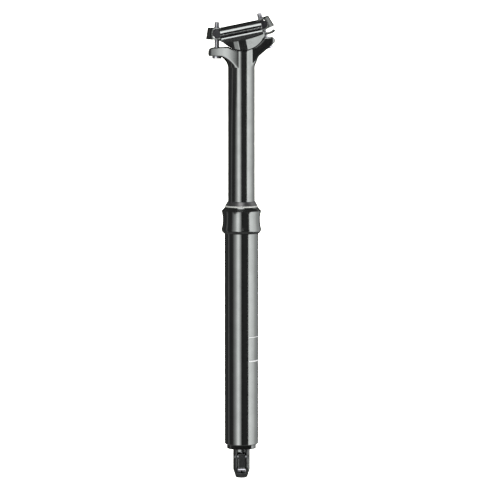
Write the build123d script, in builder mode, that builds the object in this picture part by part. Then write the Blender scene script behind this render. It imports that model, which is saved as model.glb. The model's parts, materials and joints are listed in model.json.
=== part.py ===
from build123d import *
from math import cos, radians, sin
import os

os.makedirs("parts", exist_ok=True)

# Dropper seatpost, in millimetres. The origin is the centre of the outer tube's bottom face,
# +Z runs up the tube and +X points to the rear of the bicycle.

# Driving dimensions
running_gap = 0.05

outer_tube_radius = 15.45
outer_tube_bore = 13.95
outer_tube_length = 209.0
thread_relief_radius = 15.2
stanchion_radius = 12.25
stanchion_bore = 10.75
stanchion_bottom = 145.0
neck_height = 345.0

collar_bottom = 195.0
collar_top = 219.0
collar_radius = 18.2
collar_waist_radius = 17.05
collar_end_radius = 15.2

groove_radius = 14.65
groove_width = 3.4
key_width = 3.0
key_bottom = 161.0
key_length = 12.0

rod_radius = 4.0
rod_bore = 1.3
pin_radius = 1.25
cylinder_bore = 7.5
cylinder_radius = 9.0
cylinder_bottom = 152.0
cylinder_top = 331.0
piston_bottom = 168.0
floating_piston_bottom = 270.0

tilt_axis_height = 386.5
bowl_radius = 24.0
belly_radius = 23.75
rail_tilt = 11.5
rail_radius = 3.5
rail_offset = 22.0
rail_clamp_length = 39.0
clamp_x = -1.4
clamp_height = 380.2

nose_x = -22.4
nose_bottom = 372.4
nose_height = 10.7
nose_radius = 10.0
nose_draft = 8.5
seat_height = 356.5
seat_radius = 5.15
bolt_radius = 2.45
bolt_length = 30.0
bolt_head_radius = 4.25
bolt_head_height = 3.5
seat_above_head = 1.6
rear_bolt_lean = 15.5
nut_radius = 4.0

housing_top = -4.3
housing_bottom = -31.2
housing_radius = 7.75
housing_front = -7.0
housing_front_half_width = 5.4
housing_corner_radius = 8.84
slot_half_width = 4.4
slot_floor = -26.8
slot_roof = -7.1
pivot_y = -4.2
pivot_height = -11.6
barrel_y = -4.4
barrel_height = -24.1
barrel_radius = 2.1
cable_stop_y = 2.4
cable_stop_radius = 2.1

# The clamp's own frame: u along the rails, w square to them, tilted up towards the rear
rail_direction = (cos(radians(rail_tilt)), 0, sin(radians(rail_tilt)))
rail_normal = (-sin(radians(rail_tilt)), 0, cos(radians(rail_tilt)))
clamp_centre = (clamp_x, 0, clamp_height)
clamp_side = Plane(origin=clamp_centre, x_dir=rail_direction, z_dir=(0, -1, 0))
clamp_plan = Plane(origin=clamp_centre, x_dir=rail_direction, z_dir=rail_normal)
clamp_section = Plane(origin=clamp_centre, x_dir=(0, 1, 0), z_dir=rail_direction)
rail_start = clamp_section.offset(-rail_clamp_length / 2)


def in_clamp_frame(x, z):
    """Side-view coordinates of a point of the post in the clamp's own frame."""
    dx, dz = x - clamp_x, z - clamp_height
    return (
        dx * rail_direction[0] + dz * rail_direction[2],
        dx * rail_normal[0] + dz * rail_normal[2],
    )


# Each bolt leaves its seat along an axis through the middle of its nose.
nose_middle = (nose_x, nose_bottom + nose_height / 2)
front_nut_u, front_nut_w = in_clamp_frame(*nose_middle)
rear_nut_x = clamp_x - front_nut_u * rail_direction[0] + front_nut_w * rail_normal[0]
rear_nut_z = clamp_height - front_nut_u * rail_direction[2] + front_nut_w * rail_normal[2]
seat_to_nut = nose_middle[1] - seat_height
rear_axis = (-sin(radians(rear_bolt_lean)), 0, cos(radians(rear_bolt_lean)))
rear_seat_x = rear_nut_x - seat_to_nut * rear_axis[0]
rear_seat_z = rear_nut_z - seat_to_nut * rear_axis[2]
front_seat = Plane(origin=(nose_x, 0, seat_height), x_dir=(1, 0, 0), z_dir=(0, 0, 1))
rear_seat = Plane(origin=(rear_seat_x, 0, rear_seat_z), x_dir=(0, 1, 0), z_dir=rear_axis)

# Outer post

with BuildPart() as outer_tube:
    with BuildSketch():
        Circle(outer_tube_radius)
    extrude(amount=collar_bottom)
    with BuildSketch(Plane.XY.offset(collar_bottom)):
        Circle(thread_relief_radius)
    extrude(amount=outer_tube_length - collar_bottom)
    with BuildSketch():
        Circle(outer_tube_bore)
    extrude(amount=outer_tube_length, mode=Mode.SUBTRACT)
    # three grooves for the guide keys
    with BuildSketch(Plane.XY.offset(20)):
        with PolarLocations(groove_radius - 1, 3, start_angle=30):
            Rectangle(2, groove_width)
    extrude(amount=key_bottom + key_length + 1 - 20, mode=Mode.SUBTRACT)
    # snap ring groove above the bushing
    with BuildSketch(Plane.XY.offset(204.9)):
        Circle(14.5)
    extrude(amount=1.4, mode=Mode.SUBTRACT)
    bottom_edges = outer_tube.edges().filter_by(GeomType.CIRCLE).group_by(Axis.Z)[0]
    chamfer(bottom_edges.sort_by(SortBy.LENGTH)[-1], 0.8)
outer_tube.part.label = "outer_tube"
export_step(outer_tube.part, "parts/outer_tube.step")

with BuildPart() as collar:
    with BuildSketch(Plane.XZ):
        with BuildLine():
            Line((15.25, collar_bottom), (16.0, collar_bottom))
            ThreePointArc(
                (16.0, collar_bottom),
                (17.6, collar_bottom + 1.6),
                (collar_radius, collar_bottom + 4),
            )
            ThreePointArc(
                (collar_radius, collar_bottom + 4),
                (collar_waist_radius, collar_top - 11.5),
                (collar_radius, collar_top - 3.3),
            )
            Polyline(
                (collar_radius, collar_top - 3.3),
                (collar_end_radius + 0.4, collar_top - 0.6),
                (collar_end_radius, collar_top),
                (14.2, collar_top),
                (14.2, 212),
                (12.9, 212),
                (12.9, 209.2),
                (15.25, 209.2),
                (15.25, 197.4),
                (16.5, 197.4),
                (16.5, 195.9),
                (15.25, 195.9),
                (15.25, collar_bottom),
            )
        make_face()
    revolve(axis=Axis.Z)
collar.part.label = "collar"
export_step(collar.part, "parts/collar.step")

with BuildPart() as upper_bushing:
    with BuildSketch(Plane.XY.offset(178)):
        Circle(outer_tube_bore - running_gap)
        Circle(stanchion_radius + running_gap, mode=Mode.SUBTRACT)
        with Locations((-13, 0)):
            Rectangle(4, 1, mode=Mode.SUBTRACT)
    extrude(amount=26.5)
upper_bushing.part.label = "upper_bushing"
export_step(upper_bushing.part, "parts/upper_bushing.step")

with BuildPart() as bushing_snap_ring:
    with BuildSketch(Plane.XY.offset(205)):
        Circle(14.4)
        Circle(12.7, mode=Mode.SUBTRACT)
        with Locations((14, 0)):
            Rectangle(8, 9, mode=Mode.SUBTRACT)
    extrude(amount=1.2)
bushing_snap_ring.part.label = "bushing_snap_ring"
export_step(bushing_snap_ring.part, "parts/bushing_snap_ring.step")

with BuildPart() as wiper_seal:
    with BuildSketch(Plane.XZ):
        with BuildLine():
            Polyline(
                (12.33, 212.2),
                (14.1, 212.2),
                (14.1, 219.0),
                (13.5, 219.0),
                (13.5, 220.6),
                (14.7, 220.6),
                (14.3, 221.4),
                (12.9, 224.1),
                (12.33, 224.4),
                (12.33, 222.6),
                (12.9, 221.8),
                (12.9, 214),
                (12.33, 213.4),
                close=True,
            )
        make_face()
    revolve(axis=Axis.Z)
wiper_seal.part.label = "wiper_seal"
export_step(wiper_seal.part, "parts/wiper_seal.step")

with BuildPart() as wiper_ring:
    with BuildSketch(Plane.XY.offset(219.1)):
        Circle(collar_end_radius - 0.1)
        Circle(13.6, mode=Mode.SUBTRACT)
    extrude(amount=1.4)
    fillet(wiper_ring.edges().filter_by(GeomType.CIRCLE).group_by(SortBy.LENGTH)[-1], 0.4)
wiper_ring.part.label = "wiper_ring"
export_step(wiper_ring.part, "parts/wiper_ring.step")

# O-rings and other round-section rings: name, mean radius, section radius, height
round_rings = {
    "collar_o_ring": (15.86, 0.6, 196.65),
    "plug_o_ring": (13.2, 0.7, 9.4),
    "cap_o_ring": (6.9, 0.55, 322.0),
    "guide_o_ring": (6.9, 0.55, 157.0),
}
for name, (mean_radius, section_radius, height) in round_rings.items():
    with BuildPart() as round_ring:
        with Locations((0, 0, height)):
            Torus(mean_radius, section_radius)
    round_ring.part.label = name
    export_step(round_ring.part, f"parts/{name}.step")

with BuildPart() as bottom_plug:
    with BuildSketch(Plane.XZ):
        with BuildLine():
            Polyline(
                (9.3, -4.0),
                (13.1, -4.0),
                (13.4, -3.7),
                (13.4, -0.05),
                (13.9, -0.05),
                (13.9, 8.5),
                (12.4, 8.5),
                (12.4, 10.3),
                (13.9, 10.3),
                (13.9, 13),
                (11.4, 13),
                (11.4, 6),
                (rod_radius + running_gap, 6),
                (rod_radius + running_gap, 0.5),
                (9.3, 0.5),
                close=True,
            )
        make_face()
    revolve(axis=Axis.Z)
    # the flange is cut away in front and behind, so that a key reaches the ring nut
    with BuildSketch(Plane.XY.offset(-4)):
        Rectangle(17.4, 40)
        Rectangle(40, 18.6, mode=Mode.SUBTRACT)
    extrude(amount=3.95, mode=Mode.SUBTRACT)
bottom_plug.part.label = "bottom_plug"
export_step(bottom_plug.part, "parts/bottom_plug.step")

with BuildPart() as ring_nut:
    with BuildSketch(Plane.XY.offset(-3.95)):
        Circle(8.9)
        Circle(rod_radius + running_gap, mode=Mode.SUBTRACT)
    extrude(amount=4.4)
    with BuildSketch(Plane.XY.offset(-3.95)):
        with PolarLocations(8.9, 10, start_angle=-87):
            Rectangle(4.4, 1.5)
    extrude(amount=3.2, mode=Mode.SUBTRACT)
ring_nut.part.label = "ring_nut"
export_step(ring_nut.part, "parts/ring_nut.step")

with BuildPart() as piston_rod:
    with BuildSketch(Plane.XZ):
        with BuildLine():
            Polyline(
                (rod_bore, slot_roof),
                (rod_radius - 0.4, slot_roof),
                (rod_radius, slot_roof + 0.4),
                (rod_radius, 6),
                (6.5, 6),
                (6.5, 8.5),
                (rod_radius, 8.5),
                (rod_radius, piston_bottom),
                (2.8, piston_bottom),
                (2.8, 180),
                (rod_bore, 180),
                close=True,
            )
        make_face()
    revolve(axis=Axis.Z)
piston_rod.part.label = "piston_rod"
export_step(piston_rod.part, "parts/piston_rod.step")

with BuildPart() as piston:
    with BuildSketch(Plane.XY.offset(piston_bottom)):
        Circle(cylinder_bore - 0.08)
        Circle(2.85, mode=Mode.SUBTRACT)
    extrude(amount=8)
    with BuildSketch(Plane.XY.offset(piston_bottom + 3)):
        Circle(cylinder_bore)
        Circle(6.5, mode=Mode.SUBTRACT)
    extrude(amount=2, mode=Mode.SUBTRACT)
    with BuildSketch(Plane.XY.offset(piston_bottom)):
        with PolarLocations(4.7, 6):
            Circle(0.8)
    extrude(amount=8, mode=Mode.SUBTRACT)
piston.part.label = "piston"
export_step(piston.part, "parts/piston.step")

with BuildPart() as piston_nut:
    with BuildSketch(Plane.XY.offset(piston_bottom + 8.02)):
        RegularPolygon(5, 6, major_radius=False)
        Circle(2.85, mode=Mode.SUBTRACT)
    extrude(amount=3.6)
piston_nut.part.label = "piston_nut"
export_step(piston_nut.part, "parts/piston_nut.step")

# Plain rings: name, inner radius, outer radius, bottom, height
flat_rings = {
    "piston_ring": (6.55, cylinder_bore - running_gap, piston_bottom + 3.05, 1.9),
    "bottom_out_bumper": (4.3, 10.8, 8.6, 14.0),
    "top_out_bumper": (4.3, 6.8, 164.1, 3.3),
    "lower_bushing": (stanchion_radius + running_gap, 13.85, 147.0, 11.5),
    "rod_seal": (rod_radius + running_gap, 5.25, 160.1, 2.3),
}
for name, (inner, outer, bottom, height) in flat_rings.items():
    with BuildPart() as flat_ring:
        with BuildSketch(Plane.XY.offset(bottom)):
            Circle(outer)
            Circle(inner, mode=Mode.SUBTRACT)
        extrude(amount=height)
        chamfer(flat_ring.edges().filter_by(GeomType.CIRCLE).group_by(SortBy.LENGTH)[-1], 0.3)
    flat_ring.part.label = name
    export_step(flat_ring.part, f"parts/{name}.step")

# Actuator

with BuildPart() as actuator_housing:
    with BuildSketch(Plane.XZ):
        with BuildLine():
            Line((0, housing_top), (housing_corner_radius, housing_top))
            Line((housing_corner_radius, housing_top), (housing_corner_radius, -19.5))
            Spline(
                (housing_corner_radius, -19.5),
                (7.6, -24.0),
                (5.7, -29.6),
                tangents=((0, -1), (-0.34, -1)),
            )
            ThreePointArc((5.7, -29.6), (5.2, -30.8), (4.3, housing_bottom))
            Line((4.3, housing_bottom), (0, housing_bottom))
            Line((0, housing_bottom), (0, housing_top))
        make_face()
    revolve(axis=Axis.Z)
    # plan view: round behind, with a flat front between two receding cheeks
    with BuildSketch(Plane.XY.offset(housing_top)):
        Circle(housing_radius)
        Polygon(
            (-housing_radius, 0),
            (-housing_front_half_width, housing_front),
            (housing_front_half_width, housing_front),
            (housing_radius, 0),
            align=None,
        )
    extrude(amount=housing_bottom - housing_top, mode=Mode.INTERSECT)
    # slot for the lever, open towards the front of the mechanism
    with BuildSketch(Plane.XZ.offset(-4.6)):
        with BuildLine():
            Polyline(
                (-slot_half_width, slot_roof),
                (slot_half_width, slot_roof),
                (slot_half_width, slot_floor),
                (-slot_half_width, slot_floor),
                close=True,
            )
        make_face()
        fillet(vertices().group_by(Axis.Y)[0], 2.0)
    extrude(amount=16, mode=Mode.SUBTRACT)
    with Locations((0, 0, housing_top)):
        Hole(rod_radius + running_gap, depth=3)
    # pivot pin hole, cable stop, cable hole and grub screw hole
    with BuildSketch(Plane.YZ.offset(-9)):
        with Locations((pivot_y, pivot_height)):
            Circle(1.3)
    extrude(amount=18, mode=Mode.SUBTRACT)
    with BuildSketch(Plane.XY.offset(housing_bottom)):
        with Locations((0, cable_stop_y)):
            Circle(cable_stop_radius)
    extrude(amount=3, mode=Mode.SUBTRACT)
    with BuildSketch(Plane.XY.offset(housing_bottom)):
        with Locations((0, cable_stop_y)):
            Circle(0.9)
    extrude(amount=6, mode=Mode.SUBTRACT)
    with BuildSketch(Plane.XZ.offset(-4.0)):
        with Locations((0, -5.7)):
            Circle(1.25)
    extrude(amount=-6, mode=Mode.SUBTRACT)
actuator_housing.part.label = "actuator_housing"
export_step(actuator_housing.part, "parts/actuator_housing.step")

with BuildPart() as housing_grub_screw:
    with BuildSketch(Plane.XZ.offset(-4.1)):
        with Locations((0, -5.7)):
            Circle(1.2)
    extrude(amount=-3)
    with BuildSketch(Plane.XZ.offset(-7.1)):
        with Locations((0, -5.7)):
            RegularPolygon(0.65, 6)
    extrude(amount=1.2, mode=Mode.SUBTRACT)
housing_grub_screw.part.label = "housing_grub_screw"
export_step(housing_grub_screw.part, "parts/housing_grub_screw.step")

with BuildPart() as lever_pin:
    with BuildSketch(Plane.YZ.offset(-6.1)):
        with Locations((pivot_y, pivot_height)):
            Circle(1.25)
    extrude(amount=12.2)
lever_pin.part.label = "lever_pin"
export_step(lever_pin.part, "parts/lever_pin.step")

with BuildPart() as actuator_lever:
    with BuildSketch(Plane.YZ.offset(-3.2)):
        with Locations((pivot_y, pivot_height)):
            Circle(2.8)
        with Locations((0, -10.3)):
            Circle(1.6)
        Polygon((-4.2, -9.2), (0.2, -8.9), (0.6, -11.6), (-2.2, -15.5), align=None)
        Polygon((-6.8, -8.7), (-1.6, -9.2), (-1.4, -22.6), (-6.4, -21.6), align=None)
        with Locations((barrel_y, barrel_height)):
            Circle(3.1)
        # the hook is open at the front, so that the barrel drops in
        with Locations((barrel_y, barrel_height)):
            Circle(barrel_radius + 0.08, mode=Mode.SUBTRACT)
        Polygon((-12, -22.02), (-4.4, -22.02), (-4.4, -30), (-12, -30), align=None, mode=Mode.SUBTRACT)
        Polygon((-4.5, -26.18), (-2.6, -26.18), (-2.6, -30), (-4.5, -30), align=None, mode=Mode.SUBTRACT)
        with Locations((pivot_y, pivot_height)):
            Circle(1.3, mode=Mode.SUBTRACT)
    extrude(amount=6.4)
    # cable slot through the back of the hook
    with BuildSketch(Plane.XY.offset(-28)):
        with Locations((0, 0)):
            Rectangle(1.8, 6)
    extrude(amount=5.2, mode=Mode.SUBTRACT)
actuator_lever.part.label = "actuator_lever"
export_step(actuator_lever.part, "parts/actuator_lever.step")

with BuildPart() as cable_barrel:
    with BuildSketch(Plane.YZ.offset(-4.1)):
        with Locations((barrel_y, barrel_height)):
            Circle(barrel_radius)
    extrude(amount=8.2)
    chamfer(cable_barrel.edges().filter_by(GeomType.CIRCLE), 0.8)
    with BuildSketch(Plane.XZ.offset(10)):
        with Locations((0, barrel_height - 1.2)):
            Rectangle(1.4, 2.4)
    extrude(amount=-14, mode=Mode.SUBTRACT)
    with BuildSketch(Plane.YZ.offset(4.2)):
        with Locations((barrel_y, barrel_height)):
            Circle(1.05)
    extrude(amount=-3.4, mode=Mode.SUBTRACT)
cable_barrel.part.label = "cable_barrel"
export_step(cable_barrel.part, "parts/cable_barrel.step")

with BuildPart() as cable_set_screw:
    with BuildSketch(Plane.YZ.offset(0.9)):
        with Locations((barrel_y, barrel_height)):
            Circle(1.0)
    extrude(amount=2.8)
    with BuildSketch(Plane.YZ.offset(3.7)):
        with Locations((barrel_y, barrel_height)):
            RegularPolygon(0.5, 6)
    extrude(amount=-1.2, mode=Mode.SUBTRACT)
cable_set_screw.part.label = "cable_set_screw"
export_step(cable_set_screw.part, "parts/cable_set_screw.step")

with BuildPart() as release_pin:
    with BuildSketch(Plane.XY.offset(-8.6)):
        Circle(pin_radius)
    extrude(amount=188.7)
release_pin.part.label = "release_pin"
export_step(release_pin.part, "parts/release_pin.step")

with BuildPart() as valve_poppet:
    with BuildSketch(Plane.XY.offset(180.15)):
        Circle(2.4)
    extrude(amount=1.6)
    chamfer(valve_poppet.edges().group_by(Axis.Z)[-1], 0.5)
valve_poppet.part.label = "valve_poppet"
export_step(valve_poppet.part, "parts/valve_poppet.step")

# Gas cartridge

with BuildPart() as cartridge_body:
    with BuildSketch(Plane.XY.offset(cylinder_bottom)):
        Circle(cylinder_radius)
        Circle(cylinder_bore, mode=Mode.SUBTRACT)
    extrude(amount=cylinder_top - cylinder_bottom)
cartridge_body.part.label = "cartridge_body"
export_step(cartridge_body.part, "parts/cartridge_body.step")

with BuildPart() as cartridge_cap:
    with BuildSketch(Plane.XZ):
        with BuildLine():
            Polyline(
                (1.0, 318),
                (7.45, 318),
                (7.45, 321.3),
                (6.3, 321.3),
                (6.3, 322.7),
                (7.45, 322.7),
                (7.45, 331.02),
                (9.0, 331.02),
                (9.0, 336),
                (5.0, 336),
                (5.0, 341),
                (2.05, 341),
                (2.05, 335),
                (1.0, 335),
                close=True,
            )
        make_face()
    revolve(axis=Axis.Z)
cartridge_cap.part.label = "cartridge_cap"
export_step(cartridge_cap.part, "parts/cartridge_cap.step")

with BuildPart() as gas_fill_screw:
    with BuildSketch(Plane.XY.offset(335.1)):
        Circle(2.0)
    extrude(amount=5.5)
    with BuildSketch(Plane.XY.offset(340.6)):
        RegularPolygon(1.1, 6)
    extrude(amount=-1.6, mode=Mode.SUBTRACT)
gas_fill_screw.part.label = "gas_fill_screw"
export_step(gas_fill_screw.part, "parts/gas_fill_screw.step")

with BuildPart() as rod_guide:
    with BuildSketch(Plane.XZ):
        with BuildLine():
            Polyline(
                (rod_radius + running_gap, 152.5),
                (7.45, 152.5),
                (7.45, 156.3),
                (6.3, 156.3),
                (6.3, 157.7),
                (7.45, 157.7),
                (7.45, 164),
                (rod_radius + running_gap, 164),
                (rod_radius + running_gap, 162.5),
                (5.3, 162.5),
                (5.3, 160),
                (rod_radius + running_gap, 160),
                close=True,
            )
        make_face()
    revolve(axis=Axis.Z)
rod_guide.part.label = "rod_guide"
export_step(rod_guide.part, "parts/rod_guide.step")

with BuildPart() as cartridge_retainer:
    with BuildSketch(Plane.XY.offset(145.2)):
        Circle(stanchion_bore - running_gap)
        Circle(5, mode=Mode.SUBTRACT)
    extrude(amount=6.7)
    with BuildSketch(Plane.XY.offset(145.2)):
        with PolarLocations(10.7, 4):
            Rectangle(5, 2.5)
    extrude(amount=2.5, mode=Mode.SUBTRACT)
cartridge_retainer.part.label = "cartridge_retainer"
export_step(cartridge_retainer.part, "parts/cartridge_retainer.step")

with BuildPart() as floating_piston:
    with BuildSketch(Plane.XY.offset(floating_piston_bottom)):
        Circle(cylinder_bore - 0.08)
    extrude(amount=10)
    with BuildSketch(Plane.XY.offset(floating_piston_bottom + 4)):
        Circle(cylinder_bore)
        Circle(6.5, mode=Mode.SUBTRACT)
    extrude(amount=2, mode=Mode.SUBTRACT)
    with BuildSketch(Plane.XY.offset(floating_piston_bottom + 10)):
        Circle(5)
    extrude(amount=-3.5, mode=Mode.SUBTRACT)
floating_piston.part.label = "floating_piston"
export_step(floating_piston.part, "parts/floating_piston.step")

with BuildPart() as floating_piston_ring:
    with BuildSketch(Plane.XY.offset(floating_piston_bottom + 4.05)):
        Circle(cylinder_bore - running_gap)
        Circle(6.55, mode=Mode.SUBTRACT)
    extrude(amount=1.9)
floating_piston_ring.part.label = "floating_piston_ring"
export_step(floating_piston_ring.part, "parts/floating_piston_ring.step")

# Inner post and saddle head

with BuildPart() as upper_post:
    # side view of the head: ear in front, bowl in the middle, arm behind
    with BuildSketch(Plane.XZ.offset(-20)):
        with BuildLine():
            Polyline((14.2, 352.2), (14.2, 340), (-30.2, 340), (-30.2, 362.2))
            ThreePointArc((-30.2, 362.2), (-28.6, 364.2), (-24.8, 365.1))
            Line((-24.8, 365.1), (-12.0, tilt_axis_height - (bowl_radius**2 - 12.0**2) ** 0.5))
            ThreePointArc(
                (-12.0, tilt_axis_height - (bowl_radius**2 - 12.0**2) ** 0.5),
                (0, tilt_axis_height - bowl_radius),
                (20.6, tilt_axis_height - (bowl_radius**2 - 20.6**2) ** 0.5),
            )
            Line((20.6, tilt_axis_height - (bowl_radius**2 - 20.6**2) ** 0.5), (27.6, 374.6))
            ThreePointArc((27.6, 374.6), (29.9, 373.8), (30.7, 371.8))
            Line((30.7, 371.8), (30.7, 369.9))
            Line((30.7, 369.9), (16.4, 357.9))
            ThreePointArc((16.4, 357.9), (14.8, 355.4), (14.2, 352.2))
        make_face()
    extrude(amount=40)
    # plan view: the tube's own circle with a tapering ear and a straight arm
    with BuildSketch(Plane.XY.offset(neck_height)):
        with BuildLine():
            ear_start = (-stanchion_radius * sin(radians(14)), stanchion_radius * cos(radians(14)))
            ear_end = (-30.2, 5.1)
            arm_start = (stanchion_radius * sin(radians(35)), stanchion_radius * cos(radians(35)))
            arm_shoulder = (arm_start[0] + (arm_start[1] - 8) / 0.7002, 8)
            Line(ear_end, ear_start)
            ThreePointArc(ear_start, (0.9, (stanchion_radius**2 - 0.81) ** 0.5), arm_start)
            Polyline(
                arm_start,
                arm_shoulder,
                (30.7, 8),
                (30.7, -8),
                (arm_shoulder[0], -8),
                (arm_start[0], -arm_start[1]),
            )
            ThreePointArc(
                (arm_start[0], -arm_start[1]),
                (0.9, -((stanchion_radius**2 - 0.81) ** 0.5)),
                (ear_start[0], -ear_start[1]),
            )
            Polyline((ear_start[0], -ear_start[1]), (ear_end[0], -ear_end[1]), ear_end)
        make_face()
        fillet(vertices().group_by(Axis.X)[0], 2.8)
        fillet(vertices().group_by(Axis.X)[-1], 3.4)
    extrude(amount=60, mode=Mode.INTERSECT)
    # the head grows out of the tube in one round flare
    with BuildSketch(Plane.XZ):
        with BuildLine():
            Line((0, neck_height), (12.2, neck_height))
            ThreePointArc((12.2, neck_height), (14.3, 352.4), (20.6, 357.2))
            Polyline((20.6, 357.2), (45, 357.2), (45, 390), (0, 390), (0, neck_height))
        make_face()
    revolve(axis=Axis.Z, mode=Mode.INTERSECT)
    with BuildSketch(Plane.XY.offset(stanchion_bottom)):
        Circle(stanchion_radius)
    extrude(amount=neck_height - stanchion_bottom)
    # bores for the gas cartridge
    with BuildSketch(Plane.XZ):
        with BuildLine():
            Polyline(
                (0, stanchion_bottom),
                (stanchion_bore, stanchion_bottom),
                (stanchion_bore, 330),
                (9.1, 332),
                (9.1, 336.2),
                (5.2, 336.2),
                (5.2, 342),
                (0, 345),
                close=True,
            )
        make_face()
    revolve(axis=Axis.Z, mode=Mode.SUBTRACT)
    # pockets for the guide keys
    with BuildSketch(Plane.XY.offset(key_bottom)):
        with PolarLocations(11.45 + 1, 3, start_angle=30):
            Rectangle(2, key_width + 0.1)
    extrude(amount=key_length, mode=Mode.SUBTRACT)
    # round seats and clearance holes of the two clamp bolts
    for seat in (front_seat, rear_seat):
        with Locations(seat.location):
            Sphere(seat_radius, mode=Mode.SUBTRACT)
        with BuildSketch(seat.offset(-2)):
            Circle(3.4)
        extrude(amount=20, mode=Mode.SUBTRACT)
upper_post.part.label = "upper_post"
export_step(upper_post.part, "parts/upper_post.step")

with BuildPart() as guide_keys:
    with BuildSketch(Plane.XY.offset(key_bottom + 0.1)):
        with PolarLocations((11.5 + 14.35) / 2, 3, start_angle=30):
            Rectangle(14.35 - 11.5, key_width)
    extrude(amount=key_length - 0.2)
guide_keys.part.label = "guide_keys"
export_step(guide_keys.part, "parts/guide_keys.step")

# Saddle clamp

belly_u, belly_w = in_clamp_frame(0, tilt_axis_height)
with BuildPart() as lower_cradle:
    # belly that lies in the head's bowl
    with BuildSketch(clamp_side.offset(-20)):
        with Locations((belly_u, belly_w)):
            Circle(belly_radius)
        with Locations((0, 40 - 2.6)):
            Rectangle(120, 80, mode=Mode.SUBTRACT)
        # step under the rear nose
        with Locations((17.2 + 10, -4.6 + 10)):
            Rectangle(20, 20, mode=Mode.SUBTRACT)
    extrude(amount=40)
    with BuildSketch(clamp_plan.offset(-30)):
        Polygon(
            (-17.2, 4.5),
            (-8.5, 13.5),
            (-4.0, 15.3),
            (2.8, 14.5),
            (21.5, 5.5),
            (21.5, -5.5),
            (2.8, -14.5),
            (-4.0, -15.3),
            (-8.5, -13.5),
            (-17.2, -4.5),
            align=None,
        )
    extrude(amount=40, mode=Mode.INTERSECT)
    # two rail plates joined by a bridge
    with BuildSketch(rail_start):
        with Locations((-rail_offset, -5.4), (rail_offset, -5.4)):
            Rectangle(10.8, 6.4)
        # inner wall of each groove, which stands up beside the rail
        with Locations((-rail_offset + 4.0, -2.2), (rail_offset - 4.0, -2.2)):
            Rectangle(2.8, 4.8)
        with Locations((-rail_offset, 0), (rail_offset, 0)):
            Circle(rail_radius, mode=Mode.SUBTRACT)
        # steep chamfer along each plate's outer lip
        Polygon((-27.4, -3.6), (-26.7, -2.2), (-27.4, -2.2), align=None, mode=Mode.SUBTRACT)
        Polygon((27.4, -3.6), (27.4, -2.2), (26.7, -2.2), align=None, mode=Mode.SUBTRACT)
    extrude(amount=rail_clamp_length)
    with BuildSketch(clamp_plan.offset(-6.2)):
        Rectangle(34.4, 34)
    extrude(amount=3.6)
    # the plates' bottom edge is a long shallow arc
    with BuildSketch(clamp_side.offset(-40)):
        with BuildLine():
            ThreePointArc((-rail_clamp_length / 2 - 1, -5.9), (2, -8.1), (rail_clamp_length / 2 + 1, -6.0))
            Polyline(
                (rail_clamp_length / 2 + 1, -6.0),
                (rail_clamp_length / 2 + 1, -12),
                (-rail_clamp_length / 2 - 1, -12),
                (-rail_clamp_length / 2 - 1, -5.9),
            )
        make_face()
    plate_trim = extrude(amount=80, mode=Mode.PRIVATE)
    with BuildSketch(clamp_plan.offset(-20)):
        with Locations((0, -24), (0, 24)):
            Rectangle(50, 16)
    plate_zone = extrude(amount=30, mode=Mode.PRIVATE)
    add(plate_trim & plate_zone, mode=Mode.SUBTRACT)
    # rear tongue: two bars beside the bolt and an upturned lip behind it
    with BuildSketch(clamp_side.offset(-5.5)):
        Polygon(
            (14, -8.2),
            (25.5, -8.2),
            (28.4, -8.0),
            (32.0, -6.3),
            (30.9, -4.7),
            (27.6, -6.2),
            (25.5, -6.4),
            (14, -6.4),
            align=None,
        )
    extrude(amount=11)
    # slot that lets the rear bolt swing
    with BuildSketch(clamp_plan.offset(-30)):
        with Locations((20.6, 0)):
            SlotOverall(9.6, 6.2)
    extrude(amount=40, mode=Mode.SUBTRACT)
lower_cradle.part.label = "lower_cradle"
export_step(lower_cradle.part, "parts/lower_cradle.step")

front_nose = Plane(origin=(nose_x, 0, nose_bottom), x_dir=(1, 0, 0), z_dir=(0, 0, 1))
nose_lean = radians(2 * rail_tilt)
front_hole = Plane(origin=(nose_x, 0, nose_middle[1]), x_dir=(1, 0, 0), z_dir=(0, 0, 1))
rear_hole = Plane(
    origin=(rear_nut_x, 0, rear_nut_z),
    x_dir=(cos(nose_lean), 0, sin(nose_lean)),
    z_dir=(-sin(nose_lean), 0, cos(nose_lean)),
)
with BuildPart() as upper_clamp:
    with BuildSketch(front_nose):
        Circle(nose_radius)
        with Locations((1.55, 0)):
            Rectangle(3.1, 2 * nose_radius)
    extrude(amount=nose_height, taper=nose_draft)
    mirror(about=clamp_section)
    # spine between the noses
    with BuildSketch(clamp_side.offset(-8)):
        Polygon((-20, 1.2), (-20, 5.2), (-9, 4.6), (9, 4.6), (20, 5.2), (20, 1.2), align=None)
    extrude(amount=16)
    # arches over the rails, each with a web to the spine
    with BuildSketch(rail_start):
        for side in (-1, 1):
            with Locations((side * rail_offset, 0)):
                Circle(5.9)
            with Locations((side * (rail_offset + 3), -2.3)):
                Rectangle(10, 8.0, mode=Mode.SUBTRACT)
            with Locations((side * (rail_offset - 3), -3.0)):
                Rectangle(8, 7.0, mode=Mode.SUBTRACT)
    extrude(amount=rail_clamp_length)
    with BuildSketch(clamp_plan.offset(1.4)):
        Rectangle(25, 38)
    extrude(amount=2.8)
    with BuildSketch(rail_start):
        for side in (-1, 1):
            with Locations((side * rail_offset, 0)):
                Circle(rail_radius)
    extrude(amount=rail_clamp_length, mode=Mode.SUBTRACT)
    # room between the noses for the cradle's bridge
    with BuildSketch(clamp_plan.offset(-12)):
        Rectangle(35, 34)
    extrude(amount=9.7, mode=Mode.SUBTRACT)
    # slotted bolt holes and cross bores for the nuts
    for hole in (front_hole, rear_hole):
        with BuildSketch(hole.offset(-8)):
            SlotOverall(9.8, 6.0)
        extrude(amount=16, mode=Mode.SUBTRACT)
        with BuildSketch(Plane(origin=hole.origin, x_dir=hole.x_dir, z_dir=(0, -1, 0)).offset(-15)):
            Circle(nut_radius + 0.4)
        extrude(amount=30, mode=Mode.SUBTRACT)
upper_clamp.part.label = "upper_clamp"
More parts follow.
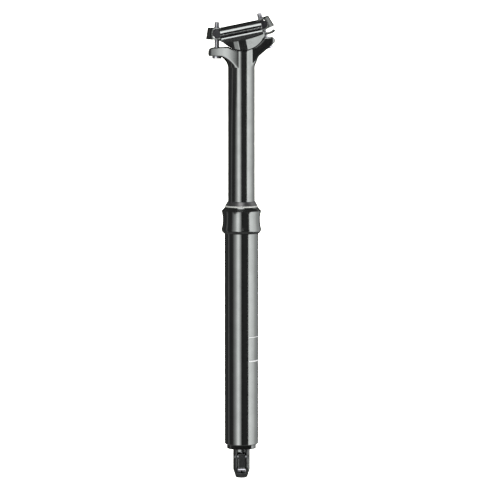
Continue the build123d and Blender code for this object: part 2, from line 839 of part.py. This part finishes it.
export_step(upper_clamp.part, "parts/upper_clamp.step")

# Clamp bolts and nuts

for end, seat in (("front", front_seat), ("rear", rear_seat)):
    with BuildPart() as bolt:
        with BuildSketch(seat.offset(-seat_above_head)):
            Circle(bolt_head_radius)
        extrude(amount=bolt_head_height)
        chamfer(bolt.edges().filter_by(GeomType.CIRCLE), 0.35)
        with BuildSketch(seat.offset(bolt_head_height - seat_above_head)):
            Circle(bolt_radius)
        extrude(amount=bolt_length)
        with BuildSketch(seat.offset(-seat_above_head)):
            RegularPolygon(2.3, 6)
        extrude(amount=2.1, mode=Mode.SUBTRACT)
    bolt.part.label = f"{end}_bolt"
    export_step(bolt.part, f"parts/{end}_bolt.step")

    with BuildPart() as washer:
        with Locations(seat.location):
            Sphere(seat_radius - 0.15)
        with BuildSketch(seat.offset(bolt_head_height - seat_above_head)):
            Circle(4.2)
        extrude(amount=8, mode=Mode.INTERSECT)
        with BuildSketch(seat):
            Circle(bolt_radius + 0.1)
        extrude(amount=10, mode=Mode.SUBTRACT)
    washer.part.label = f"{end}_washer"
    export_step(washer.part, f"parts/{end}_washer.step")

    with BuildPart() as nut:
        nut_middle = seat.offset(seat_to_nut).origin
        with BuildSketch(Plane(origin=nut_middle, x_dir=(1, 0, 0), z_dir=(0, -1, 0)).offset(-8)):
            Circle(nut_radius)
        extrude(amount=16)
        with BuildSketch(seat.offset(seat_to_nut - 6)):
            Circle(bolt_radius + running_gap)
        extrude(amount=12, mode=Mode.SUBTRACT)
    nut.part.label = f"{end}_nut"
    export_step(nut.part, f"parts/{end}_nut.step")
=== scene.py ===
import json
import math

import bmesh
import bpy
from mathutils import Matrix, Vector


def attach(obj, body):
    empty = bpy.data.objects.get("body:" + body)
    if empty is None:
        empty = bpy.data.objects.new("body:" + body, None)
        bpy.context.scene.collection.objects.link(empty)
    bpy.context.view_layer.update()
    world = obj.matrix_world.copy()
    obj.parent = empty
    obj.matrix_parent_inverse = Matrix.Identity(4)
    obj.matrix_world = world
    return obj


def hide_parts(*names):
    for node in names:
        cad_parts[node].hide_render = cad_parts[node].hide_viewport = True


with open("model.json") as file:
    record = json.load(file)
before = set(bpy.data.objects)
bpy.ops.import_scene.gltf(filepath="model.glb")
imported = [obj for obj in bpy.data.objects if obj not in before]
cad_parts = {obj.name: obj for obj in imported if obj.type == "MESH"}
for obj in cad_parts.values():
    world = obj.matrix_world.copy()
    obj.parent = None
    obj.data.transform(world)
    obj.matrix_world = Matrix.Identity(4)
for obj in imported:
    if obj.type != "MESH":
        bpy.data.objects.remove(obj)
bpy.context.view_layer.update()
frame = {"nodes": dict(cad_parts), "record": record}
nodes = frame["nodes"]
mm = 0.001
weldDistance = 0.0005 * mm
print("frame loaded, nodes:", len(nodes))


# Materials

def toLinear(hexColour):
    parts = [int(hexColour[i:i + 2], 16) / 255 for i in (0, 2, 4)]
    return [c / 12.92 if c <= 0.04045 else ((c + 0.055) / 1.055) ** 2.4 for c in parts] + [1.0]


def addNode(tree, kind, place, settings=None, links=None):
    node = tree.nodes.new(kind)
    node.location = place
    for key, value in (settings or {}).items():
        if key in node.inputs:
            node.inputs[key].default_value = value
        else:
            setattr(node, key, value)
    for key, source in (links or {}).items():
        tree.links.new(source, node.inputs[key])
    return node


def makeFinish(f):
    mat = bpy.data.materials.new(f["name"])
    mat.use_nodes = True
    tree = mat.node_tree
    tree.nodes.clear()
    coord = addNode(tree, "ShaderNodeTexCoord", (-1100, 0))
    stretch = addNode(tree, "ShaderNodeMapping", (-920, 0), {"Scale": f["stretch"]},
                      {"Vector": coord.outputs["Object"]})
    grain = addNode(tree, "ShaderNodeTexNoise", (-720, 120),
                    {"Scale": 1 / (f["grain"] * mm), "Detail": 3.0, "Roughness": 0.6},
                    {"Vector": stretch.outputs["Vector"]})
    patches = addNode(tree, "ShaderNodeTexNoise", (-720, -160),
                      {"Scale": 1 / (f["patch"] * mm), "Detail": 4.0, "Roughness": 0.55},
                      {"Vector": coord.outputs["Object"]})
    worn = addNode(tree, "ShaderNodeMapRange", (-520, -160), {"From Min": 0.3, "From Max": 0.7},
                   {"Value": patches.outputs["Fac"]})
    colour = addNode(tree, "ShaderNodeMix", (-320, 40), {"data_type": "RGBA"})
    colour.inputs[6].default_value = toLinear(f["colour"])
    colour.inputs[7].default_value = toLinear(f["colour2"])
    tree.links.new(worn.outputs["Result"], colour.inputs[0])
    rough = addNode(tree, "ShaderNodeMapRange", (-320, -260),
                    {"To Min": f["roughness"][0], "To Max": f["roughness"][1]},
                    {"Value": grain.outputs["Fac"]})
    bump = addNode(tree, "ShaderNodeBump", (-320, 260),
                   {"Strength": f["bump"], "Distance": f["depth"] * mm},
                   {"Height": grain.outputs["Fac"]})
    shader = addNode(tree, "ShaderNodeBsdfPrincipled", (-60, 0), {"Metallic": f["metallic"]},
                     {"Base Color": colour.outputs[2], "Roughness": rough.outputs["Result"],
                      "Normal": bump.outputs["Normal"]})
    for key, value in f.get("shader", {}).items():
        shader.inputs[key].default_value = value
    addNode(tree, "ShaderNodeOutputMaterial", (220, 0), {}, {"Surface": shader.outputs["BSDF"]})
    return mat


even = (1.0, 1.0, 1.0)
alongPost = (1.0, 1.0, 0.05)
roundPost = (0.05, 0.05, 1.0)
finishes = {
    # Aluminium tube, polished and then anodised black: a dark mirror with crisp reflections
    "gloss_black": {"name": "polishedBlackAnodisedAluminium", "colour": "606261", "colour2": "595B5A",
                    "metallic": 1.0, "roughness": (0.10, 0.15), "grain": 0.4, "stretch": alongPost,
                    "patch": 14.0,
                    "bump": 0.02, "depth": 0.02},
    # The sliding tube is ground and hard anodised: nearly the same mirror, faintly streaked along its travel
    "post_black": {"name": "groundHardAnodisedAluminium", "colour": "616362", "colour2": "5A5C5B",
                   "metallic": 1.0, "roughness": (0.12, 0.18), "grain": 0.3, "stretch": alongPost,
                   "patch": 10.0,
                   "bump": 0.02, "depth": 0.02},
    # Forged aluminium, tumbled and anodised black: softer reflections with a slight orange peel
    "clamp_black": {"name": "forgedBlackAnodisedAluminium", "colour": "5C5E5D", "colour2": "545655",
                    "metallic": 1.0, "roughness": (0.17, 0.25), "grain": 0.35, "stretch": even,
                    "patch": 6.0, "bump": 0.05,
                    "depth": 0.03},
    # Turned aluminium left bare: pale, with fine tool rings round the post's axis
    "machined_alu": {"name": "turnedAluminium", "colour": "C9CACC", "colour2": "B9BABD", "metallic": 1.0,
                     "roughness": (0.32, 0.46), "grain": 0.18, "stretch": roundPost, "patch": 5.0,
                     "bump": 0.12, "depth": 0.02},
    # Zinc-plated steel screws: silver grey with a slightly cloudy plating
    "steel": {"name": "zincPlatedSteel", "colour": "A2A2A6", "colour2": "88888D", "metallic": 1.0,
              "roughness": (0.22, 0.36), "grain": 0.25, "stretch": even, "patch": 2.5, "bump": 0.06,
              "depth": 0.02},
    # Black oxide on turned steel: nearly black, oily sheen
    "nut_steel": {"name": "blackOxideSteel", "colour": "4A4A4C", "colour2": "3C3C3F", "metallic": 1.0,
                  "roughness": (0.24, 0.36), "grain": 0.2, "stretch": even, "patch": 2.5, "bump": 0.06,
                  "depth": 0.02},
    # Hard chromed and ground rod
    "chrome_rod": {"name": "hardChromedSteel", "colour": "D6D7DA", "colour2": "CBCCD0", "metallic": 1.0,
                   "roughness": (0.05, 0.10), "grain": 0.2, "stretch": roundPost, "patch": 8.0,
                   "bump": 0.02, "depth": 0.01},
    # Drawn brass keys
    "brass": {"name": "drawnBrass", "colour": "C9A45A", "colour2": "B08C48", "metallic": 1.0,
              "roughness": (0.25, 0.38), "grain": 0.2, "stretch": alongPost, "patch": 3.0, "bump": 0.05,
              "depth": 0.02},
    # Filled acetal bushings, moulded: dark and waxy
    "bushing_plastic": {"name": "mouldedAcetal", "colour": "2E2E2E", "colour2": "262626", "metallic": 0.0,
                        "roughness": (0.42, 0.55), "grain": 0.3, "stretch": even, "patch": 4.0,
                        "bump": 0.08, "depth": 0.02,
                        "shader": {"IOR": 1.48}},
    # Nitrile rubber rings: dull black
    "seal_rubber": {"name": "nitrileRubber", "colour": "191919", "colour2": "212121", "metallic": 0.0,
                    "roughness": (0.55, 0.7), "grain": 0.25, "stretch": even, "patch": 3.0, "bump": 0.1,
                    "depth": 0.03,
                    "shader": {"IOR": 1.52}},
    # Cast polyurethane wiper: black with a soft sheen
    "wiper_black": {"name": "castPolyurethane", "colour": "1B1B1C", "colour2": "161617", "metallic": 0.0,
                    "roughness": (0.26, 0.36), "grain": 0.3, "stretch": even, "patch": 4.0, "bump": 0.04,
                    "depth": 0.02,
                    "shader": {"IOR": 1.5}},
    # Moulded grey acetal ring under the wiper's lip
    "ring_grey": {"name": "mouldedGreyAcetal", "colour": "7C7D7B", "colour2": "727371", "metallic": 0.0,
                  "roughness": (0.3, 0.42), "grain": 0.3, "stretch": even, "patch": 4.0, "bump": 0.05,
                  "depth": 0.02,
                  "shader": {"IOR": 1.48}},
    # Cast polyurethane bumpers, matt
    "bumper_rubber": {"name": "castPolyurethaneBumper", "colour": "2A2A2A", "colour2": "222222",
                      "metallic": 0.0, "roughness": (0.5, 0.62), "grain": 0.4, "stretch": even,
                      "patch": 5.0, "bump": 0.08,
                      "depth": 0.03,
                      "shader": {"IOR": 1.5}},
}
materials = {}
for slotName, finish in finishes.items():
    materials[slotName] = makeFinish(finish)
for part in frame["record"]["subparts"]:
    piece = nodes[part["node"]]
    piece.data.materials.clear()
    piece.data.materials.append(materials[part["material_slot"]])
print("finishes made:", len(materials))


# Pieces

def finishPiece(name, mesh, body, slotName, replaced=(), sharp=38.0):
    data = bpy.data.meshes.new(name)
    mesh.to_mesh(data)
    mesh.free()
    data.shade_smooth()
    data.set_sharp_from_angle(angle=math.radians(sharp))
    data.materials.append(materials[slotName])
    piece = bpy.data.objects.new(name, data)
    bpy.context.collection.objects.link(piece)
    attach(piece, body)
    if replaced:
        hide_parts(*replaced)
    print("piece made:", name, len(data.polygons), "faces")
    return piece


def frameMesh(node):
    mesh = bmesh.new()
    mesh.from_mesh(nodes[node].data)
    bmesh.ops.remove_doubles(mesh, verts=mesh.verts, dist=weldDistance)
    return mesh


def cutAt(mesh, height, keepAbove):
    bmesh.ops.bisect_plane(mesh, geom=mesh.verts[:] + mesh.edges[:] + mesh.faces[:], dist=1e-7,
                           plane_co=(0, 0, height * mm), plane_no=(0, 0, 1),
                           clear_inner=keepAbove, clear_outer=not keepAbove)


def softened(mesh, voxel, passes):
    data = bpy.data.meshes.new("softening")
    mesh.to_mesh(data)
    mesh.free()
    helper = bpy.data.objects.new("softening", data)
    bpy.context.collection.objects.link(helper)
    remesh = helper.modifiers.new("remesh", "REMESH")
    remesh.mode = "VOXEL"
    remesh.voxel_size = voxel * mm
    remesh.adaptivity = 0.0
    graph = bpy.context.evaluated_depsgraph_get()
    result = bmesh.new()
    result.from_mesh(helper.evaluated_get(graph).to_mesh())
    bpy.data.objects.remove(helper)
    for _ in range(passes):
        bmesh.ops.smooth_vert(result, verts=result.verts, factor=0.5, use_axis_x=True, use_axis_y=True,
                              use_axis_z=True)
    return result


def spinProfile(mesh, profile, segments):
    line = [mesh.verts.new((r * mm, 0, z * mm)) for r, z in profile]
    edges = [mesh.edges.new(pair) for pair in zip(line, line[1:])]
    bmesh.ops.spin(mesh, geom=line + edges, cent=(0, 0, 0), axis=(0, 0, 1), angle=math.tau, steps=segments,
                   use_merge=True, use_duplicate=False)
    bmesh.ops.remove_doubles(mesh, verts=mesh.verts, dist=0.001 * mm)


# The post is one forging: its head flows into the tube with rounded edges and no crease.
# Above wallBottom its outer wall is spun afresh. The bores and the key pockets come from the frame.
forgedHead = {"seam": 347.0, "helperBottom": 340.0, "voxel": 0.4, "passes": 14, "wallBottom": 198.0,
              "wallRadius": 12.25, "segments": 128, "earStart": 3.0, "earTip": 30.2,
              "earHalfWidths": (11.9, 5.1),
              "earBelly": 1.5, "bridge": 0.5, "wallSearch": 0.6}


def makePost(f):
    head = frameMesh("upper_post")
    cutAt(head, f["helperBottom"], True)
    bmesh.ops.holes_fill(head, edges=[e for e in head.edges if e.is_boundary], sides=0)
    head = softened(head, f["voxel"], f["passes"])
    cutAt(head, f["seam"], True)
    # the ear's sides swell slightly between the tube and the tip
    for vert in head.verts:
        along = (-vert.co.x / mm - f["earStart"]) / (f["earTip"] - f["earStart"])
        if 0 < along < 1:
            edge = f["earHalfWidths"][0] + (f["earHalfWidths"][1] - f["earHalfWidths"][0]) * along
            vert.co.y *= 1 + 4 * f["earBelly"] * along * (1 - along) / edge
    spinProfile(head, [(f["wallRadius"], f["wallBottom"]), (f["wallRadius"], f["seam"] - f["bridge"])],
                f["segments"])
    rims = [e for e in head.edges if e.is_boundary and e.verts[0].co.z > (f["seam"] - 2 * f["bridge"]) * mm]
    bmesh.ops.bridge_loops(head, edges=rims)
    data = bpy.data.meshes.new("headPart")
    head.to_mesh(data)
    head.free()
    whole = frameMesh("upper_post")
    cutAt(whole, f["seam"], False)
    bmesh.ops.bisect_plane(whole, geom=whole.verts[:] + whole.edges[:] + whole.faces[:], dist=1e-7,
                           plane_co=(0, 0, f["wallBottom"] * mm), plane_no=(0, 0, 1))
    wall = [face for face in whole.faces if face.calc_center_median().z > f["wallBottom"] * mm
            and face.calc_center_median().xy.length > (f["wallRadius"] - f["wallSearch"]) * mm]
    bmesh.ops.delete(whole, geom=wall, context="FACES")
    whole.from_mesh(data)
    bpy.data.meshes.remove(data)
    bmesh.ops.recalc_face_normals(whole, faces=whole.faces)
    return finishPiece("slidingPost", whole, "upper_post_body", "post_black", ["upper_post"])


# Forged and tumbled clamp halves, the lever and its housing: every edge is rounded
tumbled = {
    "railCradle": {"node": "lower_cradle", "body": "saddle_clamp", "voxel": 0.34, "passes": 4},
    "railClampTop": {"node": "upper_clamp", "body": "saddle_clamp", "voxel": 0.34, "passes": 4},
    "leverHousing": {"node": "actuator_housing", "body": "lower_post", "voxel": 0.2, "passes": 3},
    "releaseLever": {"node": "actuator_lever", "body": "lever", "voxel": 0.16, "passes": 2},
}
tumbledSharp = 60.0


def makeTumbled(name, t):
    return finishPiece(name, softened(frameMesh(t["node"]), t["voxel"], t["passes"]), t["body"],
                       "clamp_black", [t["node"]], tumbledSharp)


# Fine cross teeth pressed into the inner wall of both rail grooves, so the saddle's rails can't creep
gripTeeth = {"axisPoint": (-1.4, 22.0, 380.2), "alongRail": (0.97992, 0.0, 0.19937), "valley": 3.66,
             "crest": 3.26, "pitch": 1.3, "halfLength": 19.5, "low": -31.0, "high": 4.0, "steps": 10,
             "sharpAngle": 20.0}


def makeTeeth(g):
    mesh = bmesh.new()
    count = int(2 * g["halfLength"] / g["pitch"])
    for side in (-1, 1):
        heights = [(i / 2 - count / 2) * g["pitch"] for i in range(2 * count + 1)]
        line = [mesh.verts.new((0, -side * (g["valley"] if i % 2 == 0 else g["crest"]) * mm, h * mm))
                for i, h in enumerate(heights)]
        edges = [mesh.edges.new(pair) for pair in zip(line, line[1:])]
        bmesh.ops.rotate(mesh, verts=line, cent=(0, 0, 0),
                         matrix=Matrix.Rotation(math.radians(g["low"] * side), 3, "Z"))
        bmesh.ops.spin(mesh, geom=line + edges, cent=(0, 0, 0), axis=(0, 0, side),
                       angle=math.radians(g["high"] - g["low"]), steps=g["steps"], use_merge=False,
                       use_duplicate=False)
        strip = [v for v in mesh.verts if not v.tag]
        along = Vector(g["alongRail"])
        frameTurn = Matrix((Vector((-along.z, 0, along.x)), Vector((0, 1, 0)), along)).transposed()
        place = Vector((g["axisPoint"][0], side * g["axisPoint"][1], g["axisPoint"][2])) * mm
        bmesh.ops.transform(mesh, matrix=Matrix.Translation(place) @ frameTurn.to_4x4(), verts=strip)
        for v in strip:
            v.tag = True
    mesh.normal_update()
    for face in mesh.faces:
        if face.normal.y * face.calc_center_median().y < 0:
            face.normal_flip()
    return finishPiece("gripTeeth", mesh, "saddle_clamp", "clamp_black", (), g["sharpAngle"])


# M5 socket head screws with a rolled thread, made along +Z from the middle of the domed seat
clampBolt = {"headBottom": -1.6, "headTop": 1.9, "headRadius": 4.25, "headBevel": 0.35,
             "hexRadius": 2.3, "hexDepth": 2.1,
             "shankRadius": 2.42, "shankTop": 9.5, "rootRadius": 2.08, "crestRadius": 2.45,
             "tip": 31.9, "tipBevel": 0.5, "pitch": 0.8, "stepsPerTurn": 20, "segments": 48,
             "faceShare": 0.72, "neck": 0.3, "ridgeShare": 0.42, "ridgeSunk": 0.06, "crestHalfWidth": 0.05,
             "sharpAngle": 32.0}
boltPlaces = {
    "frontScrew": {"origin": (-22.4, 0, 356.5), "axis": (0, 0, 1), "body": "front_bolt_body",
                   "node": "front_bolt"},
    "rearScrew": {"origin": (24.566709, 0, 365.67297), "axis": (-0.267238, 0, 0.96363),
                  "body": "rear_bolt_body", "node": "rear_bolt"},
}


def makeScrew(name, place, b):
    mesh = bmesh.new()
    spinProfile(mesh, [
        (b["headRadius"] * b["faceShare"], b["headBottom"]),
        (b["headRadius"] - b["headBevel"], b["headBottom"]),
        (b["headRadius"], b["headBottom"] + b["headBevel"]),
        (b["headRadius"], b["headTop"] - b["headBevel"] / 2),
        (b["headRadius"] - b["headBevel"] / 2, b["headTop"]),
        (b["shankRadius"] + b["neck"], b["headTop"]),
        (b["shankRadius"], b["headTop"] + b["neck"]),
        (b["shankRadius"], b["shankTop"] - b["neck"]),
        (b["rootRadius"], b["shankTop"]),
        (b["rootRadius"], b["tip"] - b["tipBevel"]),
        (b["rootRadius"] - b["tipBevel"], b["tip"]),
        (0, b["tip"]),
    ], b["segments"])
    rim = [e for e in mesh.edges if e.is_boundary]
    socket = bmesh.ops.create_circle(mesh, cap_ends=False, radius=b["hexRadius"] * mm, segments=6)
    hexEdges = list({e for v in socket["verts"] for e in v.link_edges})
    bmesh.ops.subdivide_edges(mesh, edges=hexEdges, cuts=b["segments"] // 6 - 1)
    hexVerts = [v for v in mesh.verts if abs(v.co.z) < 1e-9 and v.co.xy.length < b["hexRadius"] * 1.01 * mm]
    bmesh.ops.translate(mesh, verts=hexVerts, vec=(0, 0, b["headBottom"] * mm))
    hexEdges = [e for e in mesh.edges if e.is_wire]
    bmesh.ops.bridge_loops(mesh, edges=rim + hexEdges)
    wall = bmesh.ops.extrude_edge_only(mesh, edges=hexEdges)
    deep = [g for g in wall["geom"] if isinstance(g, bmesh.types.BMVert)]
    bmesh.ops.translate(mesh, verts=deep, vec=(0, 0, b["hexDepth"] * mm))
    bmesh.ops.holes_fill(mesh, edges=[e for e in mesh.edges if e.is_boundary], sides=0)
    turns = int((b["tip"] - b["tipBevel"] - b["shankTop"]) / b["pitch"]) - 1
    half = b["pitch"] * b["ridgeShare"]
    low = b["shankTop"] + half
    ridge = [mesh.verts.new((r * mm, 0, z * mm)) for r, z in (
        (b["rootRadius"] - b["ridgeSunk"], low - half),
        (b["crestRadius"], low - b["crestHalfWidth"]),
        (b["crestRadius"], low + b["crestHalfWidth"]),
        (b["rootRadius"] - b["ridgeSunk"], low + half))]
    section = mesh.faces.new(ridge)
    steps = turns * b["stepsPerTurn"]
    bmesh.ops.spin(mesh, geom=[section] + list(section.edges) + ridge, cent=(0, 0, 0), axis=(0, 0, 1),
                   angle=math.tau * turns, steps=steps, dvec=(0, 0, b["pitch"] * mm / b["stepsPerTurn"]),
                   use_merge=False, use_duplicate=False)
    bmesh.ops.recalc_face_normals(mesh, faces=mesh.faces)
    axis = Vector(place["axis"]).normalized()
    turn = Vector((0, 0, 1)).rotation_difference(axis).to_matrix().to_4x4()
    bmesh.ops.transform(mesh, matrix=Matrix.Translation(Vector(place["origin"]) * mm) @ turn,
                        verts=mesh.verts)
    return finishPiece(name, mesh, place["body"], "steel", [place["node"]], b["sharpAngle"])


# Height marks, laser etched through the black: grey bands 0.02 mm proud of the tube, centred on its rear side
heightMarks = {"radius": 15.45, "proud": 0.02, "sunk": 0.02, "marks": [
    {"height": 180.0, "thick": 0.5, "halfAngle": 20.0}, {"height": 160.0, "thick": 0.5, "halfAngle": 20.0},
    {"height": 140.0, "thick": 0.5, "halfAngle": 20.0}, {"height": 120.0, "thick": 0.5, "halfAngle": 20.0},
    {"height": 100.0, "thick": 0.55, "halfAngle": 66.0}, {"height": 78.0, "thick": 1.1, "halfAngle": 66.0}]}


def makeMarks(h):
    mesh = bmesh.new()
    for m in h["marks"]:
        start = Matrix.Rotation(math.radians(-m["halfAngle"]), 3, "Z")
        inner, outer = h["radius"] - h["sunk"], h["radius"] + h["proud"]
        corners = [(inner, -1), (outer, -1), (outer, 1), (inner, 1)]
        verts = [mesh.verts.new(start @ Vector((r * mm, 0, (m["height"] + side * m["thick"] / 2) * mm)))
                 for r, side in corners]
        section = mesh.faces.new(verts)
        bmesh.ops.spin(mesh, geom=[section] + list(section.edges) + verts, cent=(0, 0, 0), axis=(0, 0, 1),
                       angle=math.radians(2 * m["halfAngle"]), steps=int(m["halfAngle"]), use_merge=False,
                       use_duplicate=False)
    bmesh.ops.recalc_face_normals(mesh, faces=mesh.faces)
    marks = finishPiece("heightMarks", mesh, "lower_post", "gloss_black")
    marks.data.materials.clear()
    marks.data.materials.append(makeFinish(etchedFinish))
    return marks


# Laser-etched aluminium: the anodising is burnt off and leaves a matt grey
etchedFinish = {"name": "laserEtchedAluminium", "colour": "929394", "colour2": "848586", "metallic": 0.0,
                "roughness": (0.5, 0.7), "grain": 0.12, "stretch": even, "patch": 3.0, "bump": 0.1,
                "depth": 0.01, "shader": {"IOR": 1.5}}

makePost(forgedHead)
for name, t in tumbled.items():
    makeTumbled(name, t)
for name, place in boltPlaces.items():
    makeScrew(name, place, clampBolt)
makeMarks(heightMarks)
makeTeeth(gripTeeth)


# Floor, light cards and camera

studio = {"floorHeight": -31.3, "floorRadius": 40000.0, "wallHeight": 60000.0, "centreRadius": 600.0,
          "rimShare": 0.05, "segments": 48,
          "floorColour": "F2F2F0", "floorGlow": 0.95, "worldColour": "696969", "worldStrength": 1.0}


def plainMaterial(name, colour, emission):
    mat = bpy.data.materials.new(name)
    mat.use_nodes = True
    tree = mat.node_tree
    tree.nodes.clear()
    diffuse = addNode(tree, "ShaderNodeBsdfDiffuse", (-200, 100), {"Color": toLinear(colour)})
    glow = addNode(tree, "ShaderNodeEmission", (-200, -100),
                   {"Color": toLinear(colour), "Strength": emission})
    both = addNode(tree, "ShaderNodeAddShader", (0, 0))
    tree.links.new(diffuse.outputs[0], both.inputs[0])
    tree.links.new(glow.outputs[0], both.inputs[1])
    addNode(tree, "ShaderNodeOutputMaterial", (200, 0), {}, {"Surface": both.outputs[0]})
    return mat


def makeFloor(s):
    mesh = bmesh.new()
    line = [mesh.verts.new((r * mm, 0, z * mm)) for r, z in (
        (0, 0), (s["centreRadius"], 0), (s["floorRadius"], 0),
        (s["floorRadius"] * (1 + s["rimShare"]), s["floorRadius"] * s["rimShare"]),
        (s["floorRadius"] * (1 + s["rimShare"]), s["wallHeight"]))]
    for low, high in zip(line, line[1:]):
        mesh.edges.new((low, high))
    bmesh.ops.spin(mesh, geom=mesh.verts[:] + mesh.edges[:], cent=(0, 0, 0), axis=(0, 0, 1), angle=math.tau,
                   steps=s["segments"], use_merge=True, use_duplicate=False)
    bmesh.ops.remove_doubles(mesh, verts=mesh.verts, dist=1e-5)
    bmesh.ops.translate(mesh, verts=mesh.verts, vec=(0, 0, s["floorHeight"] * mm))
    data = bpy.data.meshes.new("studioFloor")
    mesh.to_mesh(data)
    mesh.free()
    floor = bpy.data.objects.new("studioFloor", data)
    bpy.context.collection.objects.link(floor)
    data.materials.append(plainMaterial("paleFloor", s["floorColour"], s["floorGlow"]))
    floor.visible_glossy = False  # polished tubes show the cards, not the floor
    return floor


# Light cards stand round the post, sized in metres. Azimuth 0 is at the camera and positive is to its right.
cards = {
    "stripLeft": {"azimuth": -26.0, "width": 2.02, "height": 2.6, "distance": 1.5, "strength": 5.4,
                  "ramp": [(0.0, 0.06), (0.138, 0.146), (0.356, 0.39), (0.474, 0.8), (0.578, 1.0),
                           (0.727, 0.52), (0.86, 0.1), (0.95, 0.0)]},
    "softboxRight": {"azimuth": 99.5, "width": 3.88, "height": 4.4, "middle": -0.75, "distance": 1.6,
                     "strength": 5.0,
                     "ramp": [(0.0, 1.0), (0.237, 1.0), (0.424, 0.755), (0.576, 0.39), (0.852, 0.13),
                              (1.0, 0.1)]},
    "stripFarLeft": {"azimuth": -97.0, "width": 0.5, "height": 2.4, "distance": 1.6, "strength": 0.6,
                     "ramp": [(0.0, 0.0), (0.3, 1.0), (0.7, 1.0), (1.0, 0.0)]},
    "floorPanel": {"width": 1.6, "height": 1.6, "place": (0.0, 0.0, -0.35), "strength": 0.35,
                   "ramp": [(0.0, 0.6), (0.5, 1.0), (1.0, 0.6)]},
    "frontTop": {"azimuth": -8.0, "elevation": 50.0, "width": 1.1, "height": 2.0, "distance": 1.8,
                 "strength": 8.0,
                 "ramp": [(0.0, 0.3), (0.25, 1.0), (0.75, 1.0), (1.0, 0.3)]},
    "blackFlag": {"azimuth": 181.0, "width": 1.9, "height": 2.6, "distance": 1.7, "strength": 0.0,
                  "ramp": [(0.0, 0.0), (1.0, 0.0)]},
}
cameraPlace = {"target": (7.9, 0.0, 179.4), "distance": 3000.0, "azimuth": -3.0, "elevation": 5.3,
               "lens": 235.3, "sensor": 36.0, "farthest": 400.0}
cardCentre = 0.15


def makeCard(name, c):
    mesh = bmesh.new()
    bmesh.ops.create_grid(mesh, x_segments=1, y_segments=1, size=0.5)
    bmesh.ops.scale(mesh, verts=mesh.verts, vec=(c["width"], c["height"], 1.0))
    data = bpy.data.meshes.new(name)
    mesh.to_mesh(data)
    mesh.free()
    card = bpy.data.objects.new(name, data)
    bpy.context.collection.objects.link(card)
    if "azimuth" in c:
        turn = math.radians(c["azimuth"] + cameraPlace["azimuth"])
        rise = math.radians(c.get("elevation", 0.0))
        centre = Matrix.Translation((0, 0, c.get("middle", cardCentre)))
        tilt = Matrix.Rotation(math.radians(90) - rise, 4, "X")
        card.matrix_world = (centre @ Matrix.Rotation(turn, 4, "Z") @ tilt
                             @ Matrix.Translation((0, 0, c["distance"])))
    else:
        card.matrix_world = Matrix.Translation(c["place"])
    mat = bpy.data.materials.new(name + "Light")
    mat.use_nodes = True
    tree = mat.node_tree
    tree.nodes.clear()
    coord = addNode(tree, "ShaderNodeTexCoord", (-900, 0))
    split = addNode(tree, "ShaderNodeSeparateXYZ", (-720, 0), {}, {"Vector": coord.outputs["Object"]})
    across = addNode(tree, "ShaderNodeMapRange", (-540, 0),
                     {"From Min": -c["width"] / 2, "From Max": c["width"] / 2},
                     {"Value": split.outputs["X"]})
    ramp = addNode(tree, "ShaderNodeValToRGB", (-360, 0), {}, {"Fac": across.outputs["Result"]})
    stops = ramp.color_ramp.elements
    while len(stops) < len(c["ramp"]):
        stops.new(0.5)
    for stop, (place, level) in zip(stops, c["ramp"]):
        stop.position = place
        stop.color = (level, level, level, 1.0)
    power = addNode(tree, "ShaderNodeMath", (-80, 0), {"operation": "MULTIPLY"})
    power.inputs[1].default_value = c["strength"]
    tree.links.new(ramp.outputs["Color"], power.inputs[0])
    glow = addNode(tree, "ShaderNodeEmission", (100, 0), {}, {"Strength": power.outputs[0]})
    addNode(tree, "ShaderNodeOutputMaterial", (300, 0), {}, {"Surface": glow.outputs[0]})
    data.materials.append(mat)
    card.visible_camera = False
    card.visible_shadow = False
    return card


def makeCamera(c):
    data = bpy.data.cameras.new("studioCamera")
    data.lens = c["lens"]
    data.sensor_width = c["sensor"]
    data.clip_end = c["farthest"]
    camera = bpy.data.objects.new("studioCamera", data)
    bpy.context.collection.objects.link(camera)
    a, e = math.radians(c["azimuth"]), math.radians(c["elevation"])
    back = Vector((math.sin(a) * math.cos(e), -math.cos(a) * math.cos(e), math.sin(e)))
    target = Vector(c["target"]) * mm
    camera.location = target + back * c["distance"] * mm
    camera.rotation_euler = (-back).to_track_quat("-Z", "Y").to_euler()
    bpy.context.scene.camera = camera
    return camera


makeFloor(studio)
for name, card in cards.items():
    makeCard(name, card)
makeCamera(cameraPlace)
world = bpy.data.worlds.new("studioWorld")
world.use_nodes = True
world.node_tree.nodes["Background"].inputs["Color"].default_value = toLinear(studio["worldColour"])
world.node_tree.nodes["Background"].inputs["Strength"].default_value = studio["worldStrength"]
bpy.context.scene.world = world
bpy.context.scene.view_settings.view_transform = "Standard"
print("floor, lights and camera placed")
